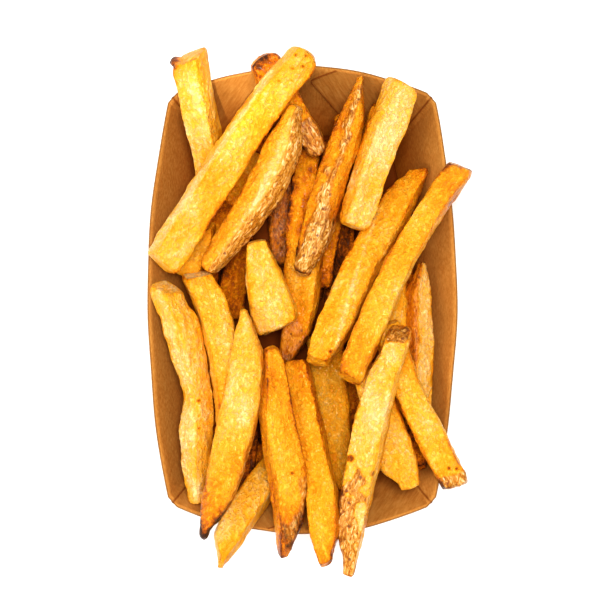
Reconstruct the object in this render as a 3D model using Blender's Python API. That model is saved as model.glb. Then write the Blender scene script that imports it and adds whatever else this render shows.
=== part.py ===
"""French fries heaped in an open paperboard boat tray.

Two objects are made: "tray", one folded sheet of board with a glued gusset at each corner, and
"fries", the whole heap as one solid, a smaller core with every fry that shows fused onto it.
Metres, +Z up. The origin is the middle of the underside of the tray's base, the tray is longest
along Y, and the fries point the way they lie in the tray as it is seen from above.
"""

import math

import bpy
import bmesh
import numpy as np
from mathutils import Vector

MM = 0.001

# Tray: half sizes of the inside of the base and of the rim, and how high the rim stands
BASE_HALF_WIDTH = 29.0 * MM
BASE_HALF_LENGTH = 52.0 * MM
RIM_HALF_WIDTH = 52.0 * MM
RIM_HALF_LENGTH = 79.0 * MM
CORNER_HALF_WIDTH = 45.0 * MM
CORNER_HALF_LENGTH = 69.5 * MM
CORNER_CUT = 1.6 * MM
SIDE_RIM_HEIGHT = 41.0 * MM
END_RIM_HEIGHT = 41.0 * MM
CORNER_RIM_HEIGHT = 36.0 * MM
BOARD = 0.6 * MM
SIDE_STEPS = 18
END_STEPS = 12
WALL_STEPS = 4

# Gussets: the folded ply at each corner, glued to the inside of the end walls
GUSSET_APEX_X = 2.5 * MM
GUSSET_APEX_RISE = 0.86
GUSSET_TOP_X = 12.5 * MM
GUSSET_FOOT_RISE = 0.05
GUSSET_THICKNESS = 0.5 * MM
GUSSET_SUNK = 0.15 * MM

# Core: the middle of the heap, which the lowest fries lie in
CORE_GAP = 0.8 * MM
CORE_EDGE_HEIGHT = 18.0 * MM
CORE_TOP_HEIGHT = 21.0 * MM
CORE_SIDES = 28

# Fries: how far soft fries press into each other, how the low ones sink among the rest, and the
# share of a fry's width that bears on others, as two side by side don't lift each other
TRAY_CLEARANCE = 1.1 * MM
PRESSED_IN = 2.0 * MM
BURIED = 4.0 * MM
SOFT_EDGE = 0.72
FRY_SIDES = 8
FRY_ROUNDING = 5.0
FRY_RINGS = (0.0, 0.05, 0.25, 0.5, 0.75, 0.95, 1.0)
FRY_END_SCALE = 0.82
CELL = 1.0 * MM
MAP_HALF = 110

# Each fry as it is seen from above, in millimetres: where it starts and ends (x, y), its width at
# the start, in the middle and at the end, how far it bows to the left, its thickness, and its roll
# in degrees. They are laid in this order, each one on the ones before it.
LOW_FRIES = (
    ((34, 24), (33, -46), (9, 10, 9), 0, 10, 0),
    ((-33, 44), (-34, 4), (9, 10, 9), 0, 10, 0),
    ((-34, -4), (-32, -48), (9, 10, 9), 0, 10, 0),
    ((-22, 56), (12, 51), (9, 10, 9), 0, 10, 0),
    ((-24, -53), (14, -57), (9, 10, 9), 0, 10, 0),
    ((14, 28), (12, -14), (9, 10, 9), 0, 10, 0),
    ((-18, -39), (-20, -64), (6, 7, 6), 0, 8, 0),
    ((33, -30), (40, -58), (7, 8, 7), 0, 8, 0),
    ((18, -20), (21, -53), (8, 10, 8), 0, 9, 0),
    ((-22, 26), (-25, -7), (9, 10, 9), 0, 9, 0),
    ((-12, 21), (-10, 0), (6, 7, 6), 0, 8, 0),
    ((-23, 43), (-30, 19), (9, 9, 9), 0, 9, 0),
    ((-7, 50), (-7, 12), (8, 9, 6), 0, 9, 0),
    ((5, 50), (3, 0), (8, 8, 8), 0, 8, 0),
    ((41, 12), (40, -43), (8, 10, 9), 0, 10, 35),
    ((31, 13), (31, -27), (9, 9, 8), 0, 9, 0),
    ((9, -12), (14, -65), (10, 10, 6), 0, 10, 0),
    ((23, -22), (35, -62), (11, 11, 11), 0, 10, 0),
    ((16, 64), (6, 4), (8, 8, 8), 0, 10, 0),
    ((26, 69), (21, 52), (8, 8, 8), 0, 9, 0),
    ((-16, 51), (-25, 32), (7, 8, 5), 0, 8, 0),
)
TOP_FRIES = (
    ((2, 57), (-4, -22), (10, 13, 7), 3, 10, 0),
    ((-12.5, 81.5), (5, 51), (10, 10.5, 9), 0, 10.5, 0),
    ((-30.5, 25.5), (-39, 8.5), (3.5, 9, 9), 0, 9, 0),
    ((29, -7.5), (50.5, -61), (9.5, 9.5, 10), 0.5, 10, 0),
    ((-1.5, -15.5), (7.5, -88), (10, 11.5, 7), 1, 10.5, 0),
    ((-10.5, -52.5), (-26.5, -87), (9, 11.5, 2.5), -1, 10, 0),
    ((-11.5, -15), (-5.5, -86), (8, 12, 4), 1.5, 11, 0),
    ((38.5, 43.5), (6, -19), (9, 12.5, 11.5), -1.5, 11, 0),
    ((-46, 4.5), (-36, -67.5), (11.5, 12.5, 10), 5, 11, 20),
    ((-37, 81.5), (-31.5, 40), (11.5, 11.5, 10.5), 0, 11, 15),
    ((-2.5, 63), (-30.5, 11), (6, 13, 7.5), 2.5, 11, 20),
    ((-35, 9.5), (-23.5, -48), (11, 11.5, 9.5), 3, 11, 0),
    ((19.5, 73.5), (1, 10), (4, 11, 6), 1, 11, 0),
    ((33.5, 72.5), (17, 25), (11, 12, 9), 0.5, 11, 15),
    ((53.5, 45), (16, -26), (10.5, 10, 10), -3, 11, 0),
    ((32.5, -12.5), (16, -90.5), (9.5, 11, 4.5), -2.5, 11, 0),
    ((-19.5, -3.5), (-32.5, -78.5), (3.5, 12, 4), 3.5, 11, 0),
    ((-15, 18.5), (-9, -8), (7.5, 10.5, 13), 0, 10.5, 0),
    ((-1, 80), (-48, 12), (12.5, 11.5, 12.5), -2, 11.5, 0),
)

BOARD_COLOUR = (0.42, 0.22, 0.09, 1.0)
FRY_COLOUR = (0.82, 0.46, 0.08, 1.0)


def clear_scene():
    for item in list(bpy.data.objects):
        bpy.data.objects.remove(item, do_unlink=True)


def plain_material(name, colour, roughness):
    material = bpy.data.materials.new(name)
    material.use_nodes = True
    shader = material.node_tree.nodes["Principled BSDF"]
    shader.inputs["Base Color"].default_value = colour
    shader.inputs["Roughness"].default_value = roughness
    shader.inputs["Metallic"].default_value = 0.0
    return material


def object_from(name, vertices, faces, material):
    mesh = bpy.data.meshes.new(name)
    mesh.from_pydata([tuple(vertex) for vertex in vertices], [], faces)
    mesh.materials.append(material)
    shape = bmesh.new()
    shape.from_mesh(mesh)
    bmesh.ops.recalc_face_normals(shape, faces=shape.faces)
    shape.to_mesh(mesh)
    shape.free()
    item = bpy.data.objects.new(name, mesh)
    bpy.context.scene.collection.objects.link(item)
    return item


def mixed(low, high, share):
    return low + (high - low) * share


def side_wall_point(along, rise):
    """A point inside the +X wall: along runs from -1 to 1 between its corners, rise from 0 to 1."""
    bow = 1.0 - along ** 2
    rim_x = mixed(CORNER_HALF_WIDTH, RIM_HALF_WIDTH, bow)
    rim_z = mixed(CORNER_RIM_HEIGHT, SIDE_RIM_HEIGHT, bow)
    y = along * mixed(BASE_HALF_LENGTH, CORNER_HALF_LENGTH, rise)
    return Vector((mixed(BASE_HALF_WIDTH, rim_x, rise), y, mixed(BOARD, rim_z, rise)))


def end_wall_point(across, rise):
    """A point inside the +Y wall: across runs from -1 to 1 between its corners, rise from 0 to 1."""
    bow = 1.0 - across ** 2
    rim_y = mixed(CORNER_HALF_LENGTH, RIM_HALF_LENGTH, bow)
    rim_z = mixed(CORNER_RIM_HEIGHT, END_RIM_HEIGHT, bow)
    x = across * mixed(BASE_HALF_WIDTH, CORNER_HALF_WIDTH, rise)
    return Vector((x, mixed(BASE_HALF_LENGTH, rim_y, rise), mixed(BOARD, rim_z, rise)))


def tray_ring(rise):
    """The inside of the tray at one rise, once round from the -Y end of the +X wall."""
    cut_y = 1.0 - CORNER_CUT / BASE_HALF_LENGTH
    cut_x = 1.0 - CORNER_CUT / BASE_HALF_WIDTH
    side = [side_wall_point(mixed(-cut_y, cut_y, i / SIDE_STEPS), rise) for i in range(SIDE_STEPS + 1)]
    end = [end_wall_point(mixed(cut_x, -cut_x, i / END_STEPS), rise) for i in range(END_STEPS + 1)]
    half = side + end
    return half + [Vector((-point.x, -point.y, point.z)) for point in half]


def bridged(rings):
    """Faces between rings of points that hold the same number of points."""
    count = len(rings[0])
    faces = []
    for ring in range(len(rings) - 1):
        for i in range(count):
            j = (i + 1) % count
            low = ring * count
            faces.append((low + i, low + j, low + count + j, low + count + i))
    return faces


def gusset(mirror_x, mirror_y, material):
    """One folded ply on the inside of an end wall, from the corner crease to its fold and cut edge."""
    rows = 10
    columns = 8
    layers = []
    for depth in (-GUSSET_SUNK, GUSSET_THICKNESS - GUSSET_SUNK):
        points = []
        for row in range(rows + 1):
            rise = mixed(GUSSET_FOOT_RISE, 0.985, row / rows)
            corner_x = mixed(BASE_HALF_WIDTH, CORNER_HALF_WIDTH, rise)
            if rise < GUSSET_APEX_RISE:
                edge_x = mixed(BASE_HALF_WIDTH, GUSSET_APEX_X, rise / GUSSET_APEX_RISE)
            else:
                past = (rise - GUSSET_APEX_RISE) / (1.0 - GUSSET_APEX_RISE)
                edge_x = mixed(GUSSET_APEX_X, GUSSET_TOP_X, past)
            for column in range(columns + 1):
                across = mixed(edge_x / corner_x, 0.995, column / columns)
                point = end_wall_point(across, rise)
                below = end_wall_point(across, rise - 0.02)
                beside = end_wall_point(across - 0.02, rise)
                inward = (point - below).cross(point - beside).normalized()
                if inward.y > 0.0:
                    inward = -inward
                points.append(point + inward * depth)
        layers.append(points)
    vertices = [Vector((p.x * mirror_x, p.y * mirror_y, p.z)) for p in layers[0] + layers[1]]
    wide = columns + 1
    layer = (rows + 1) * wide
    faces = []
    for row in range(rows):
        for column in range(columns):
            a = row * wide + column
            faces.append((a, a + 1, a + wide + 1, a + wide))
            faces.append((layer + a + wide, layer + a + wide + 1, layer + a + 1, layer + a))
    border = [column for column in range(wide)]
    border += [row * wide + columns for row in range(1, rows + 1)]
    border += [rows * wide + column for column in range(columns - 1, -1, -1)]
    border += [row * wide for row in range(rows - 1, 0, -1)]
    for i, a in enumerate(border):
        b = border[(i + 1) % len(border)]
        faces.append((b, a, layer + a, layer + b))
    return object_from("gusset", vertices, faces, material)


def apply_modifiers(item):
    bpy.context.view_layer.update()
    graph = bpy.context.evaluated_depsgraph_get()
    result = bpy.data.meshes.new_from_object(item.evaluated_get(graph))
    item.modifiers.clear()
    item.data = result


def fuse(item, others, name):
    """Joins the others to the item by one union, then removes them."""
    group = bpy.data.collections.new(name)
    bpy.context.scene.collection.children.link(group)
    for other in others:
        group.objects.link(other)
    union = item.modifiers.new("union", "BOOLEAN")
    union.operation = "UNION"
    union.solver = "EXACT"
    union.operand_type = "COLLECTION"
    union.collection = group
    apply_modifiers(item)
    for other in others:
        bpy.data.objects.remove(other, do_unlink=True)
    bpy.data.collections.remove(group)


def keep_outer_skin(item):
    """Keeps the largest closed surface, so sealed hollows are filled and loose scraps dropped."""
    shape = bmesh.new()
    shape.from_mesh(item.data)
    bmesh.ops.remove_doubles(shape, verts=shape.verts, dist=0.00001)
    bmesh.ops.triangulate(shape, faces=shape.faces)
    unseen = set(shape.faces)
    skins = []
    while unseen:
        skin = [unseen.pop()]
        for face in skin:
            for edge in face.edges:
                for neighbour in edge.link_faces:
                    if neighbour in unseen:
                        unseen.remove(neighbour)
                        skin.append(neighbour)
        skins.append(skin)
    skins.sort(key=len)
    for skin in skins[:-1]:
        bmesh.ops.delete(shape, geom=skin, context="FACES")
    loose = [vertex for vertex in shape.verts if not vertex.link_faces]
    bmesh.ops.delete(shape, geom=loose, context="VERTS")
    bmesh.ops.recalc_face_normals(shape, faces=shape.faces)
    shape.to_mesh(item.data)
    shape.free()


def make_tray():
    """The folded board: base and four flared, bowed walls of even thickness, and four gussets."""
    material = plain_material("kraft_board", BOARD_COLOUR, 0.75)
    rings = [tray_ring(step / WALL_STEPS) for step in range(WALL_STEPS + 1)]
    vertices = [point for ring in rings for point in ring]
    faces = bridged(rings)
    faces.append(tuple(range(len(rings[0]) - 1, -1, -1)))
    tray = object_from("tray", vertices, faces, material)
    shape = bmesh.new()
    shape.from_mesh(tray.data)
    for face in shape.faces:
        face.normal_update()
    base = min(shape.faces, key=lambda face: face.calc_center_median().z)
    if base.normal.z > 0.0:
        bmesh.ops.reverse_faces(shape, faces=shape.faces)
    shape.to_mesh(tray.data)
    shape.free()
    solid = tray.modifiers.new("board", "SOLIDIFY")
    solid.thickness = BOARD
    solid.offset = 1.0
    solid.use_even_offset = True
    apply_modifiers(tray)
    corners = [(1, 1), (-1, 1), (1, -1), (-1, -1)]
    fuse(tray, [gusset(x, y, material) for x, y in corners], "gussets")
    keep_outer_skin(tray)
    return tray


def fry_surface(fry, shares, sides, fullness=1.0):
    """Points of a level fry in rings, its axis at height 0; fullness narrows it."""
    (start, end, widths, bow, thickness, roll) = fry
    start = np.array(start) * MM
    end = np.array(end) * MM
    forward = (end - start) / np.linalg.norm(end - start)
    left = np.array((-forward[1], forward[0]))
    angles = (np.arange(sides) + 0.5) * 2.0 * math.pi / sides
    power = 2.0 / FRY_ROUNDING
    outline_u = np.sign(np.cos(angles)) * np.abs(np.cos(angles)) ** power
    outline_v = np.sign(np.sin(angles)) * np.abs(np.sin(angles)) ** power
    turn = math.radians(roll)
    rings = []
    for share in shares:
        width = fry_width(widths, share) * MM
        height = thickness * MM * (0.55 + 0.45 * min(1.0, width / (widths[1] * MM)))
        if share in (0.0, 1.0):
            width *= FRY_END_SCALE
            height *= FRY_END_SCALE
        u = outline_u * width * fullness / 2.0
        v = outline_v * height / 2.0
        across = u * math.cos(turn) - v * math.sin(turn)
        up = u * math.sin(turn) + v * math.cos(turn)
        middle = start + (end - start) * share + left * bow * MM * 4.0 * share * (1.0 - share)
        plan = middle + left * across[:, None]
        rings.append(np.column_stack((plan, up)))
    return np.array(rings)


def fry_width(widths, share):
    """Width along a fry: a pointed end widens fast, and a plain one evenly."""
    tip, middle = (widths[0], widths[1]) if share < 0.5 else (widths[2], widths[1])
    if tip < middle * 0.8:
        return mixed(tip, middle, math.sin(share * math.pi) ** 0.7)
    return mixed(tip, middle, 1.0 - abs(share - 0.5) * 2.0)


def tray_heights():
    """For each cell of the plan, the height that a fry has to clear: wall, rim or core."""
    cells = (np.arange(2 * MAP_HALF) + 0.5 - MAP_HALF) * CELL
    x, y = np.meshgrid(np.abs(cells), np.abs(cells))
    along = np.clip(y / CORNER_HALF_LENGTH, 0.0, 1.0)
    across = np.clip(x / CORNER_HALF_WIDTH, 0.0, 1.0)
    side_x = mixed(CORNER_HALF_WIDTH, RIM_HALF_WIDTH, 1.0 - along ** 2)
    side_z = mixed(CORNER_RIM_HEIGHT, SIDE_RIM_HEIGHT, 1.0 - along ** 2)
    end_y = mixed(CORNER_HALF_LENGTH, RIM_HALF_LENGTH, 1.0 - across ** 2)
    end_z = mixed(CORNER_RIM_HEIGHT, END_RIM_HEIGHT, 1.0 - across ** 2)
    by_side = (x + TRAY_CLEARANCE - BASE_HALF_WIDTH) / (side_x - BASE_HALF_WIDTH) * side_z
    by_end = (y + TRAY_CLEARANCE - BASE_HALF_LENGTH) / (end_y - BASE_HALF_LENGTH) * end_z
    height = np.maximum(np.maximum(by_side, by_end), CORE_EDGE_HEIGHT - BURIED)
    height = np.minimum(height, np.maximum(side_z, end_z)) + TRAY_CLEARANCE
    inside = (x < side_x + BOARD * 2.5) & (y < end_y + BOARD * 2.5)
    return np.where(inside, height, -1.0)


def cell_of(points):
    return np.clip((points[:, :2] / CELL + MAP_HALF).astype(int), 0, 2 * MAP_HALF - 1)


def resting_line(fry, tray, heap, pressed):
    """The heights of a straight fry's two ends where it comes to rest on what lies below it."""
    shares = np.linspace(0.0, 1.0, 81)
    rings = fry_surface(fry, shares, 40, SOFT_EDGE)
    need = []
    for ring in rings:
        cell = cell_of(ring)
        below = np.maximum(tray[cell[:, 1], cell[:, 0]], heap[cell[:, 1], cell[:, 0]] - pressed)
        need.append((below - ring[:, 2]).max())
    need = np.array(need)
    best = None
    for i in range(0, 41):
        for j in range(41, 81):
            slope = (need[j] - need[i]) / (shares[j] - shares[i])
            line = need[i] + slope * (shares - shares[i])
            if np.all(line >= need - 1e-9) and (best is None or line[40] < best[0]):
                best = (line[40], line[0], line[-1])
    return best[1], best[2]


def lay_fry(fry, tray, heap, pressed):
    """Lays one fry on the heap, raises the heap's height map, and gives the fry's ring points."""
    low, high = resting_line(fry, tray, heap, pressed)
    shares = np.linspace(0.0, 1.0, 161)
    rings = fry_surface(fry, shares, 60)
    for share, ring in zip(shares, rings):
        cell = cell_of(ring)
        np.maximum.at(heap, (cell[:, 1], cell[:, 0]), ring[:, 2] + mixed(low, high, share))
    rings = fry_surface(fry, FRY_RINGS, FRY_SIDES)
    for share, ring in zip(FRY_RINGS, rings):
        ring[:, 2] += mixed(low, high, share)
    return rings


def fry_object(rings, material):
    vertices = [point for ring in rings for point in ring]
    faces = bridged(rings)
    count = len(rings[0])
    faces.append(tuple(range(count - 1, -1, -1)))
    faces.append(tuple(range(len(vertices) - count, len(vertices))))
    return object_from("fry", vertices, faces, material)


def core_object(material):
    """The inside of the heap: it fills the tray's foot with an even gap and is domed on top."""
    def ring_at(height, scale, gap):
        rise = height / SIDE_RIM_HEIGHT
        half_x = mixed(BASE_HALF_WIDTH, CORNER_HALF_WIDTH, rise) - gap
        half_y = mixed(BASE_HALF_LENGTH, CORNER_HALF_LENGTH, rise) - gap
        points = []
        for i in range(CORE_SIDES):
            angle = (i + 0.5) * 2.0 * math.pi / CORE_SIDES
            u = math.copysign(abs(math.cos(angle)) ** 0.3, math.cos(angle))
            v = math.copysign(abs(math.sin(angle)) ** 0.3, math.sin(angle))
            points.append((u * half_x * scale, v * half_y * scale, height))
        return points

    rings = [ring_at(BOARD + CORE_GAP, 0.5, CORE_GAP * 2.0)]
    for height in (BOARD + CORE_GAP, CORE_EDGE_HEIGHT / 2.0, CORE_EDGE_HEIGHT):
        rings.append(ring_at(height, 1.0, CORE_GAP * 2.0))
    for scale in (0.8, 0.5, 0.2):
        height = mixed(CORE_TOP_HEIGHT, CORE_EDGE_HEIGHT, scale ** 2)
        rings.append([(x * scale, y * scale, height) for x, y, _ in rings[3]])
    vertices = [point for ring in rings for point in ring]
    faces = bridged(rings)
    faces.append(tuple(range(CORE_SIDES - 1, -1, -1)))
    faces.append(tuple(range(len(vertices) - CORE_SIDES, len(vertices))))
    return object_from("fries", vertices, faces, material)


def make_fries():
    """The heap: the core and every fry on it, laid one after another and fused into one solid."""
    material = plain_material("fried_potato", FRY_COLOUR, 0.5)
    core = core_object(material)
    tray = tray_heights()
    heap = np.full_like(tray, -1.0)
    laid = []
    for fries, pressed in ((LOW_FRIES, BURIED), (TOP_FRIES, PRESSED_IN)):
        for fry in fries:
            laid.append(fry_object(lay_fry(fry, tray, heap, pressed), material))
    fuse(core, laid, "laid_fries")
    keep_outer_skin(core)
    return core


clear_scene()
make_tray()
make_fries()
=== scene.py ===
"""French fries heaped in an open kraft paperboard boat tray, seen from straight above."""
import math

import bmesh
import bpy
import numpy as np
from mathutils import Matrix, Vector


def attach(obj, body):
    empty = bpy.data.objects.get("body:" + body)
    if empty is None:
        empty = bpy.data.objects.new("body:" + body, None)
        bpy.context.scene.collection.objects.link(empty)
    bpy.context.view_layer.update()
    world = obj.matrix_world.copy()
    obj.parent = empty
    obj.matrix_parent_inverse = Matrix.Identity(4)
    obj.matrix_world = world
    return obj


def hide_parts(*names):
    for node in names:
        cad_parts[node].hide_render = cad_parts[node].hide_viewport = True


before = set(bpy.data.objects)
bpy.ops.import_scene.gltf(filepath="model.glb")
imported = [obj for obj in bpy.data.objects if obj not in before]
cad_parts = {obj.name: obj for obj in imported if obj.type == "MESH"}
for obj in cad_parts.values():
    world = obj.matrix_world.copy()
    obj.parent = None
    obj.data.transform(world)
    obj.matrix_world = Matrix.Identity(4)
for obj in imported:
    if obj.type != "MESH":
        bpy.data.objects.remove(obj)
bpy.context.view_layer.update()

# The tray: one sheet of brown kraft paperboard, scored and folded up into four flared walls that
# bow outwards, with clipped corners. It is made as its inner face, creased along the scores, and
# then given the board's thickness. Widths run along X, lengths along Y.
MM = 0.001
BASE_HALF_WIDTH = 29.0 * MM
BASE_HALF_LENGTH = 52.0 * MM
RIM_HALF_WIDTH = 52.0 * MM
RIM_HALF_LENGTH = 79.0 * MM
CORNER_HALF_WIDTH = 45.0 * MM
CORNER_HALF_LENGTH = 69.5 * MM
CORNER_CUT = 1.6 * MM
SIDE_RIM_HEIGHT = 41.0 * MM
END_RIM_HEIGHT = 41.0 * MM
CORNER_RIM_HEIGHT = 36.0 * MM
BOARD = 0.6 * MM
CREASE_RADIUS = 0.5 * MM
CREASE_ANGLE = math.radians(22.0)
SCORE_DEPTH = 0.25 * MM
WALL_SPRING = 0.25 * MM
FOOT_SHADE_FROM = 36.0 * MM
FOOT_SHADE_FULL = 8.0 * MM


def mixed(low, high, share):
    return low + (high - low) * share


def wall_wave(place, rise, seed):
    """How far the board has sprung in or out of its flat, in metres."""
    long_wave = math.sin(place * 5.1 + seed)
    short_wave = math.sin(place * 11.3 + 2.0 * seed)
    return WALL_SPRING * rise * (long_wave + 0.6 * short_wave)


def side_wall_point(along, rise, seed=0.0):
    """A point inside the +X wall: along runs from -1 to 1 between its corners, rise from 0 to 1."""
    bow = 1.0 - along ** 2
    rim_x = mixed(CORNER_HALF_WIDTH, RIM_HALF_WIDTH, bow) + wall_wave(along, bow, seed)
    rim_z = mixed(CORNER_RIM_HEIGHT, SIDE_RIM_HEIGHT, bow)
    y = along * mixed(BASE_HALF_LENGTH, CORNER_HALF_LENGTH, rise)
    return Vector((mixed(BASE_HALF_WIDTH, rim_x, rise), y, mixed(BOARD, rim_z, rise)))


def end_wall_point(across, rise, seed=0.0):
    """A point inside the +Y wall: across runs from -1 to 1 between its corners, rise from 0 to 1."""
    bow = 1.0 - across ** 2
    rim_y = mixed(CORNER_HALF_LENGTH, RIM_HALF_LENGTH, bow) + wall_wave(across, bow, seed)
    rim_z = mixed(CORNER_RIM_HEIGHT, END_RIM_HEIGHT, bow)
    x = across * mixed(BASE_HALF_WIDTH, CORNER_HALF_WIDTH, rise)
    return Vector((x, mixed(BASE_HALF_LENGTH, rim_y, rise), mixed(BOARD, rim_z, rise)))


def turned(point, half_turn):
    return Vector((-point.x, -point.y, point.z)) if half_turn else point


def score_line(start, end):
    """The pressed line down the middle of a clipped corner, and the board to each side of it."""
    outward = Vector((start.x + end.x, start.y + end.y, 0.0)).normalized()
    line = []
    for share, depth, kind in ((0.36, 0.0, "end"), (0.50, SCORE_DEPTH, "score_shade"), (0.64, 0.0, "end")):
        line.append((start.lerp(end, share) + outward * depth, kind))
    return line


def tray_sheet():
    """The inner face of the folded board, with the grain's direction kept as a map."""
    side_steps, end_steps, rises = 72, 48, 20
    cut_y = 1.0 - CORNER_CUT / BASE_HALF_LENGTH
    cut_x = 1.0 - CORNER_CUT / BASE_HALF_WIDTH
    shape = bmesh.new()
    grain = shape.loops.layers.uv.new("grain")
    score_shade = shape.verts.layers.float.new("score_shade")
    rings = []
    for step in range(rises + 1):
        rise = step / rises
        ring = []
        for half in (0, 1):
            seed = 1.3 + 2.1 * half
            for i in range(side_steps + 1):
                along = mixed(-cut_y, cut_y, i / side_steps)
                ring.append((turned(side_wall_point(along, rise, seed), half), "side"))
            ring += score_line(ring[-1][0], turned(end_wall_point(cut_x, rise, seed), half))
            for i in range(end_steps + 1):
                across = mixed(cut_x, -cut_x, i / end_steps)
                ring.append((turned(end_wall_point(across, rise, seed), half), "end"))
            ring += score_line(ring[-1][0], turned(side_wall_point(-cut_y, rise, seed), 1 - half))
        made = []
        for point, wall in ring:
            vertex = shape.verts.new(point)
            # The pressed score line carries painted shade, darkening the crease.
            vertex[score_shade] = 1.0 if wall == "score_shade" else 0.0
            made.append((vertex, wall))
        rings.append(made)
    count = len(rings[0])
    slant_side = math.hypot(RIM_HALF_WIDTH - BASE_HALF_WIDTH, SIDE_RIM_HEIGHT) / SIDE_RIM_HEIGHT
    for lower, upper in zip(rings, rings[1:]):
        for i in range(count):
            j = (i + 1) % count
            face = shape.faces.new((lower[j][0], lower[i][0], upper[i][0], upper[j][0]))
            for loop in face.loops:
                place = loop.vert.co
                if lower[i][1] == "side":
                    across_grain = math.copysign(BASE_HALF_WIDTH, place.x) + place.z * slant_side
                    loop[grain].uv = (across_grain, place.y)
                else:
                    loop[grain].uv = (place.x, place.y)
    base = shape.faces.new([vertex for vertex, wall in rings[0]])
    for loop in base.loops:
        loop[grain].uv = (loop.vert.co.x, loop.vert.co.y)
    bmesh.ops.recalc_face_normals(shape, faces=shape.faces)
    if base.normal.z > 0.0:
        bmesh.ops.reverse_faces(shape, faces=shape.faces)
    mesh = bpy.data.meshes.new("tray_board")
    shape.to_mesh(mesh)
    shape.free()
    return mesh


def add_piece(name, mesh, materials):
    piece = bpy.data.objects.new(name, mesh)
    bpy.context.scene.collection.objects.link(piece)
    for material in materials:
        mesh.materials.append(material)
    return piece


def node(tree, kind, inputs=(), **settings):
    """Adds a shader node with its settings and then its inputs, and lays the nodes out in rows."""
    made = tree.nodes.new("ShaderNode" + kind)
    row, column = divmod(len(tree.nodes), 8)
    made.location = (column * 220.0, row * -330.0)
    for key, value in settings.items():
        setattr(made, key, value)
    for label, value in dict(inputs).items():
        made.inputs[label].default_value = value
    return made


def wire(tree, *wires):
    """Joins nodes: each wire is (from node, its output, to node, its input)."""
    for source, output, target, entry in wires:
        tree.links.new(source.outputs[output], target.inputs[entry])


def multiplied(tree, inputs):
    """A colour mix that darkens A by B."""
    return node(tree, "Mix", inputs, data_type="RGBA", blend_type="MULTIPLY")


def soft_band(tree, low, high, at_low, at_high):
    """A value that runs smoothly from at_low to at_high while the input runs from low to high."""
    limits = {"From Min": low, "From Max": high, "To Min": at_low, "To Max": at_high}
    return node(tree, "MapRange", limits, interpolation_type="SMOOTHSTEP")


def new_group(name, inputs, outputs):
    """A shader node group with named inputs (name, kind, default) and outputs (name, kind)."""
    group = bpy.data.node_groups.new(name, "ShaderNodeTree")
    for label, kind, default in inputs:
        socket = group.interface.new_socket(label, in_out="INPUT", socket_type="NodeSocket" + kind)
        if default is not None:
            socket.default_value = default
    for label, kind in outputs:
        group.interface.new_socket(label, in_out="OUTPUT", socket_type="NodeSocket" + kind)
    return group, group.nodes.new("NodeGroupInput"), group.nodes.new("NodeGroupOutput")


def speckle_group():
    """Fine mottling: two sizes of noise, as one value round 0.5."""
    group, given, out = new_group(
        "mottling",
        [("Vector", "Vector", None), ("Scale", "Float", 400.0), ("Fine share", "Float", 0.4)],
        [("Value", "Float")],
    )
    large = node(group, "TexNoise", {"Detail": 4.0, "Roughness": 0.6})
    fine_scale = node(group, "Math", {1: 4.3}, operation="MULTIPLY")
    fine = node(group, "TexNoise", {"Detail": 3.0, "Roughness": 0.7})
    blend = node(group, "Mix", data_type="FLOAT")
    wire(
        group,
        (given, "Vector", large, "Vector"),
        (given, "Scale", large, "Scale"),
        (given, "Vector", fine, "Vector"),
        (given, "Scale", fine_scale, 0),
        (fine_scale, 0, fine, "Scale"),
        (given, "Fine share", blend, "Factor"),
        (large, "Fac", blend, "A"),
        (fine, "Fac", blend, "B"),
        (blend, "Result", out, "Value"),
    )
    return group


mottling = speckle_group()


def ramp(tree, stops):
    """A colour ramp with stops of (position, colour)."""
    made = node(tree, "ValToRGB")
    band = made.color_ramp
    while len(band.elements) < len(stops):
        band.elements.new(1.0)
    for element, (position, colour) in zip(band.elements, stops):
        element.position = position
        element.color = (*colour, 1.0)
    return made


def new_material(name):
    material = bpy.data.materials.new(name)
    material.use_nodes = True
    return material, material.node_tree, material.node_tree.nodes["Principled BSDF"]


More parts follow.
